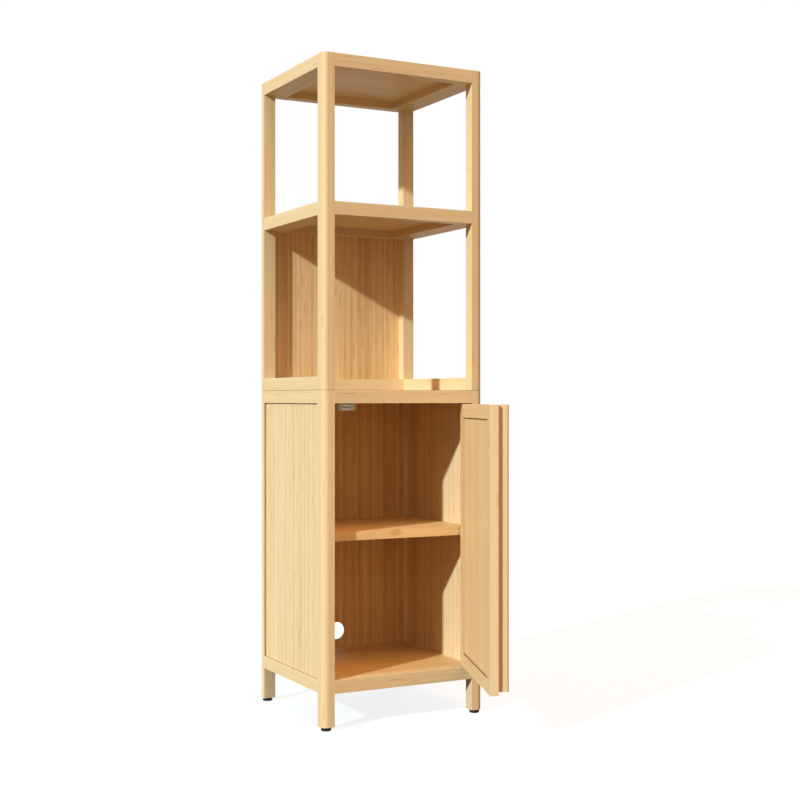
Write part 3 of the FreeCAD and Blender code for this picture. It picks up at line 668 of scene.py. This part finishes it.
# %% Mix the metals
TURNING_LINES = (0.004, 0.004, 0.00012)
steel = simple_finish(
    "turned steel", TURNING_LINES, dark=(0.52, 0.52, 0.53), pale=(0.70, 0.70, 0.71),
    roughness=(0.24, 0.42), relief=0.00004, Metallic=1.0)
yellow_zinc = simple_finish(
    "yellow zinc plate", TURNING_LINES, dark=(0.50, 0.34, 0.15), pale=(0.66, 0.47, 0.23),
    roughness=(0.34, 0.52), relief=0.00004, Metallic=1.0)
dark_steel = simple_finish(
    "blackened steel", TURNING_LINES, dark=(0.05, 0.045, 0.04), pale=(0.10, 0.09, 0.08),
    roughness=(0.35, 0.5), relief=0.00004, Metallic=1.0)
print("metals:", steel.name, "and", yellow_zinc.name, "and", dark_steel.name)

# %% [markdown]
# Moulded plastic and a pressed magnet have the same grain in every direction, from the wall
# of their mould. The black is kept from pure black, which no real plastic reaches.

# %% Mix the plastics and the magnet
black_plastic = simple_finish(
    "black moulded plastic", (0.0004, 0.0004, 0.0004), dark=(0.003, 0.003, 0.0032),
    pale=(0.010, 0.010, 0.0105), roughness=(0.40, 0.60), relief=0.00008, Specular_IOR_Level=0.25)
grey_plastic = simple_finish(
    "pale grey moulded plastic", (0.0005, 0.0005, 0.0005), dark=(0.60, 0.60, 0.59),
    pale=(0.74, 0.735, 0.72), roughness=(0.42, 0.6), relief=0.00008)
magnet_face = simple_finish(
    "ferrite magnet", (0.0003, 0.0003, 0.0003), dark=(0.28, 0.28, 0.28), pale=(0.52, 0.52, 0.52),
    roughness=(0.5, 0.7), relief=0.00005)
print("moulded:", black_plastic.name, "and", grey_plastic.name, "and", magnet_face.name)

# %% [markdown]
# Most small parts keep the shape that the CAD model gives them. Three of them have edges that
# can be seen, so those are eased like the bamboo's, each by a width that suits its size.

# %% Finish the small parts that keep their CAD shape
SMALL_PARTS = {
    beech: ("dowels",),
    steel: ("catch_strike", "hinge_pins", "shelf_pins", "foot_sleeves"),
    dark_steel: ("hinge_bushes",),
    grey_plastic: ("catch_body",),
}
SMALL_EASES = {"catch_body": 0.001, "hinge_bushes": 0.0003, "shelf_pins": 0.0003}

for finish, names in SMALL_PARTS.items():
    for node_name in names:
        set_finishes(pieces[node_name], finish)
        finished.add(node_name)
for node_name, width in SMALL_EASES.items():
    ease_edges(pieces[node_name], width)
print("still to be made in detail:", sorted(set(pieces) - finished))

# %% [markdown]
# ## Levelling feet
#
# Each post stands on a black pad with a threaded stem. In the CAD model both are plain
# cylinders. On the real foot the pad has grip ribs and a hollow under it, and the stem has a
# thread, which shows when the foot is screwed out. A lathe makes such things by turning a
# profile, and so does this helper. It can also push each ring's points in and out, which gives
# the ribs and the thread.


# %% Turn a profile
def turn_profile(shape, profile, segments, finish=0, ripple=None):
    """Turn (radius, height) pairs about the upright axis, and close both ends."""
    rings = []
    for radius, height in profile:
        ring = []
        for step in range(segments):
            angle = 2 * math.pi * step / segments
            reach = radius + (ripple(angle, height) if ripple else 0)
            ring.append(shape.verts.new((reach * math.cos(angle), reach * math.sin(angle), height)))
        rings.append(ring)
    faces = []
    for ring, following in zip(rings, rings[1:]):
        for step in range(segments):
            after = (step + 1) % segments
            faces.append(shape.faces.new((ring[step], ring[after], following[after], following[step])))
    for face in faces:
        face.smooth = True
    faces += [shape.faces.new(rings[0]), shape.faces.new(rings[-1])]
    for face in faces:
        face.material_index = finish
    return rings


def make_piece(name, shape, finishes, body, slot, *replaced):
    """Turn a bmesh into a piece that rides on a body and stands for CAD nodes."""
    bmesh.ops.recalc_face_normals(shape, faces=shape.faces)
    mesh = bpy.data.meshes.new(name)
    shape.to_mesh(mesh)
    shape.free()
    for finish in finishes:
        mesh.materials.append(finish)
    piece = bpy.data.objects.new(name, mesh)
    bpy.context.scene.collection.objects.link(piece)
    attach(piece, body)
    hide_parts(*replaced)
    finished.update(replaced)
    print(name, "has", len(mesh.polygons), "faces")


# %% [markdown]
# A rib is half a wave round the pad, and the thread is a zigzag that climbs by one pitch in
# each turn. Cutting them from the solid would do too, but pushing points needs no cut. The
# thread fades out at both ends of the stem, as a rolled one does.


# %% Shape the pad's ribs and the stem's thread
MM = 0.001
# The pad's profile in millimetres: (radius, height), from the hollow under it to its top.
PAD = (
    (0.4, 0.8), (7.6, 0.8), (8.0, 0.0), (9.6, 0.0), (10.6, 0.3), (11.1, 0.9), (11.3, 1.7),
    (11.3, 2.4), (11.2, 2.7), (11.2, 6.9), (11.3, 7.2), (11.3, 7.5), (11.0, 7.9), (10.6, 8.0), (4.2, 8.0),
)
RIBS, RIB_HEIGHT, RIB_LOW, RIB_HIGH = 24, 0.22 * MM, 2.6 * MM, 7.0 * MM
PITCH, THREAD_DEPTH = 1.25 * MM, 0.5 * MM
STEM_LOW, STEM_HIGH, STEM_RADIUS, STEM_TAPER = 8 * MM, 32 * MM, 4 * MM, 0.4 * MM


def rib(angle, height):
    """Ribs on the middle of the pad's side."""
    return RIB_HEIGHT * max(0.0, math.cos(RIBS * angle)) if RIB_LOW < height < RIB_HIGH else 0.0


def thread(angle, height):
    """A screw thread: in by its depth and out again, once for each turn and pitch."""
    phase = (height / PITCH - angle / (2 * math.pi)) % 1
    fade = min(1, (STEM_HIGH - height) / PITCH, (height - STEM_LOW) / PITCH)
    return -THREAD_DEPTH * abs(2 * phase - 1) * max(fade, 0)


print("a pad has", RIBS, "ribs; a stem has", round((STEM_HIGH - STEM_LOW) / PITCH), "turns of thread")

# %% [markdown]
# Each foot moves by itself when it is screwed in or out, so each is a piece of its own, set
# where the CAD model has its foot. The pad has many segments, so that its ribs come out, and
# the stem has eight rings in each turn of its thread.

# %% Turn the four feet
PAD_SEGMENTS, STEM_SEGMENTS = 96, 32
RINGS_PER_TURN = 8

pad = [(radius * MM, height * MM) for radius, height in PAD]
steps = round((STEM_HIGH - STEM_LOW) / PITCH * RINGS_PER_TURN)
heights = [STEM_LOW + (STEM_HIGH - STEM_LOW) * step / steps for step in range(steps)]
stem = [(STEM_RADIUS, height) for height in heights] + [(STEM_RADIUS - STEM_TAPER, STEM_HIGH)]
for corner in ("front_left", "front_right", "back_left", "back_right"):
    node_name = "foot_" + corner
    low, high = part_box(node_name)
    middle = (low + high) / 2
    shape = bmesh.new()
    turn_profile(shape, pad, PAD_SEGMENTS, 0, rib)
    turn_profile(shape, stem, STEM_SEGMENTS, 1, thread)
    bmesh.ops.translate(shape, verts=shape.verts, vec=(middle.x, middle.y, low.z))
    make_piece("pad_and_stem_" + corner, shape, (black_plastic, steel), node_name, "foot_black", node_name)

# %% [markdown]
# ## Screws
#
# The screws of the battens, the back panels and the catch are countersunk, with a cross cut
# into the head for the driver. The cross is the only part that most people ever see. It is
# cut here by leaving a cross-shaped hole in the top face, and closing it further down with a
# smaller cross, so that the pocket has sloping walls as a real one does.


# %% The outline of a cross
def cross_outline(arm, half_width):
    """The twelve corners of a cross."""
    corners = []
    for quarter in range(4):
        angle = quarter * math.pi / 2
        for along, aside in ((half_width, -half_width), (arm, -half_width), (arm, half_width)):
            corners.append((
                along * math.cos(angle) - aside * math.sin(angle),
                along * math.sin(angle) + aside * math.cos(angle),
            ))
    return corners


print("a cross has", len(cross_outline(1, 0.2)), "corners")

# %% [markdown]
# A screw is turned like the feet: a short straight rim, a cone down to the shank, and a
# point. Its proportions are shares of the head's or the shank's size, so that one helper
# serves all three sizes. The screw is made upright and then turned to face its place.


# %% Make one screw
SCREW_SEGMENTS = 32
RIM_HEIGHT = 0.35  # of the head's depth
POINT_LENGTH, POINT_RADIUS = 3, 0.15  # of the shank's radius
CROSS_ARM, CROSS_HALF_WIDTH = 0.62, 0.13  # of the head's radius
# The pocket's rim and its floor: the size of the cross, and its depth as a share of the head's.
POCKET = ((1.0, 0.0), (0.6, 0.7))


def add_screw(shape, head, shank, place, axis):
    """A countersunk screw. Head and shank are (radius, length), and axis points into the wood."""
    screw = bmesh.new()
    (head_radius, head_depth), (shank_radius, length) = head, shank
    profile = [
        (head_radius, 0), (head_radius, head_depth * RIM_HEIGHT), (shank_radius, head_depth),
        (shank_radius, length - POINT_LENGTH * shank_radius), (shank_radius * POINT_RADIUS, length),
    ]
    top = turn_profile(screw, profile, SCREW_SEGMENTS)[0]
    screw.faces.remove(screw.faces.get(top))
    rims = []
    for size, depth in POCKET:
        outline = cross_outline(CROSS_ARM * head_radius * size, CROSS_HALF_WIDTH * head_radius * size)
        rims.append([screw.verts.new((x, y, depth * head_depth)) for x, y in outline])
    outer, inner = rims
    edges = [screw.edges.get((top[i], top[i - 1])) for i in range(len(top))]
    edges += [screw.edges.new((outer[i], outer[i - 1])) for i in range(len(outer))]
    bmesh.ops.triangle_fill(screw, use_beauty=True, edges=edges)
    for i in range(len(outer)):
        screw.faces.new((outer[i - 1], outer[i], inner[i], inner[i - 1]))
    screw.faces.new(inner)
    turned = Vector(axis).to_track_quat("Z", "Y").to_matrix().to_4x4()
    screw.transform(Matrix.Translation(place) @ turned)
    mesh = bpy.data.meshes.new("one screw")
    screw.to_mesh(mesh)
    screw.free()
    shape.from_mesh(mesh)
    bpy.data.meshes.remove(mesh)


print("a screw has", SCREW_SEGMENTS, "segments round its head")

# %% [markdown]
# Four screws hold the two battens of each deck to the rails outside them, and six hold each
# back panel. They don't move by themselves and share a finish, so all of them are one piece.

# %% Drive the wood screws
BATTEN_HEAD, BATTEN_SHANK = (0.004, 0.0025), (0.002, 0.045)
BATTEN_FACE, FROM_MIDDLE, UP_THE_BATTEN = 0.142, 0.103, 0.009
RAIL_LEVELS = (0.080, 0.707, 1.115, 1.435)
PANEL_HEAD, PANEL_SHANK = (0.003, 0.0015), (0.00125, 0.014)
PANEL_EDGE, PANEL_FACE = 0.176, 0.181
PANEL_HEIGHTS = (0.149, 0.408, 0.667, 0.805, 0.940, 1.075)

shape = bmesh.new()
for level in RAIL_LEVELS:
    for side in (-1, 1):
        for end in (-1, 1):
            place = (side * BATTEN_FACE, end * FROM_MIDDLE, level + UP_THE_BATTEN)
            add_screw(shape, BATTEN_HEAD, BATTEN_SHANK, place, (side, 0, 0))
for side in (-1, 1):
    for height in PANEL_HEIGHTS:
        add_screw(shape, PANEL_HEAD, PANEL_SHANK, (side * PANEL_EDGE, PANEL_FACE, height), (0, -1, 0))
make_piece("wood_screws_in_detail", shape, (yellow_zinc,), "cabinet", "steel", "wood_screws")

# %% [markdown]
# Two more screws go up through the catch into the rail above it, one on each side of the
# magnet. They are of bright steel, like the plates that the magnet gets in the next step.

# %% Drive the catch's screws
CATCH_HEAD, CATCH_SHANK = (0.003, 0.002), (0.0015, 0.026)
CATCH_X, CATCH_Y, CATCH_UNDERSIDE = -0.134, -0.1555, 0.691
FROM_CATCH_MIDDLE = 0.0145

shape = bmesh.new()
for side in (-1, 1):
    place = (CATCH_X + side * FROM_CATCH_MIDDLE, CATCH_Y, CATCH_UNDERSIDE)
    add_screw(shape, CATCH_HEAD, CATCH_SHANK, place, (0, 0, 1))
make_piece("catch_screws_in_detail", shape, (steel,), "cabinet", "steel", "catch_screws")

# %% [markdown]
# ## The magnet and its plates
#
# The CAD model has the magnet as one block. A real catch has a thinner magnet between two
# steel plates, which carry its pull to the door and stand out from it by half a millimetre.
# Three small boxes with eased edges make that, and together they fill the block's place.


# %% Build the magnet and its plates
def add_box(shape, low, high, finish, ease):
    """A box from one corner to the other, with its edges eased."""
    made = bmesh.ops.create_cube(shape, size=1)["verts"]
    bmesh.ops.scale(shape, verts=made, vec=Vector(high) - Vector(low))
    bmesh.ops.translate(shape, verts=made, vec=(Vector(high) + Vector(low)) / 2)
    edges = list({edge for vert in made for edge in vert.link_edges})
    before = set(shape.faces) - {face for vert in made for face in vert.link_faces}
    bmesh.ops.bevel(shape, geom=edges, offset=ease, segments=2, profile=0.5, affect="EDGES")
    for face in set(shape.faces) - before:
        face.material_index = finish


PLATE, PLATE_EASE, MAGNET_EASE = 1.4 * MM, 0.15 * MM, 0.2 * MM
SET_IN, SET_BACK = 0.6 * MM, 0.5 * MM

(left, front, bottom), (right, back, top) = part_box("catch_magnet")
shape = bmesh.new()
add_box(shape, (left, front, bottom), (right, back, bottom + PLATE), 0, PLATE_EASE)
add_box(shape, (left, front, top - PLATE), (right, back, top), 0, PLATE_EASE)
core_low = (left + SET_IN, front + SET_BACK, bottom + PLATE)
core_high = (right - SET_IN, back, top - PLATE)
add_box(shape, core_low, core_high, 1, MAGNET_EASE)
make_piece("magnet_between_plates", shape, (steel, magnet_face), "cabinet", "magnet", "catch_magnet")
print("the magnet is", round((right - left) / MM), "mm long")
print("still without a finish:", sorted(set(pieces) - finished))
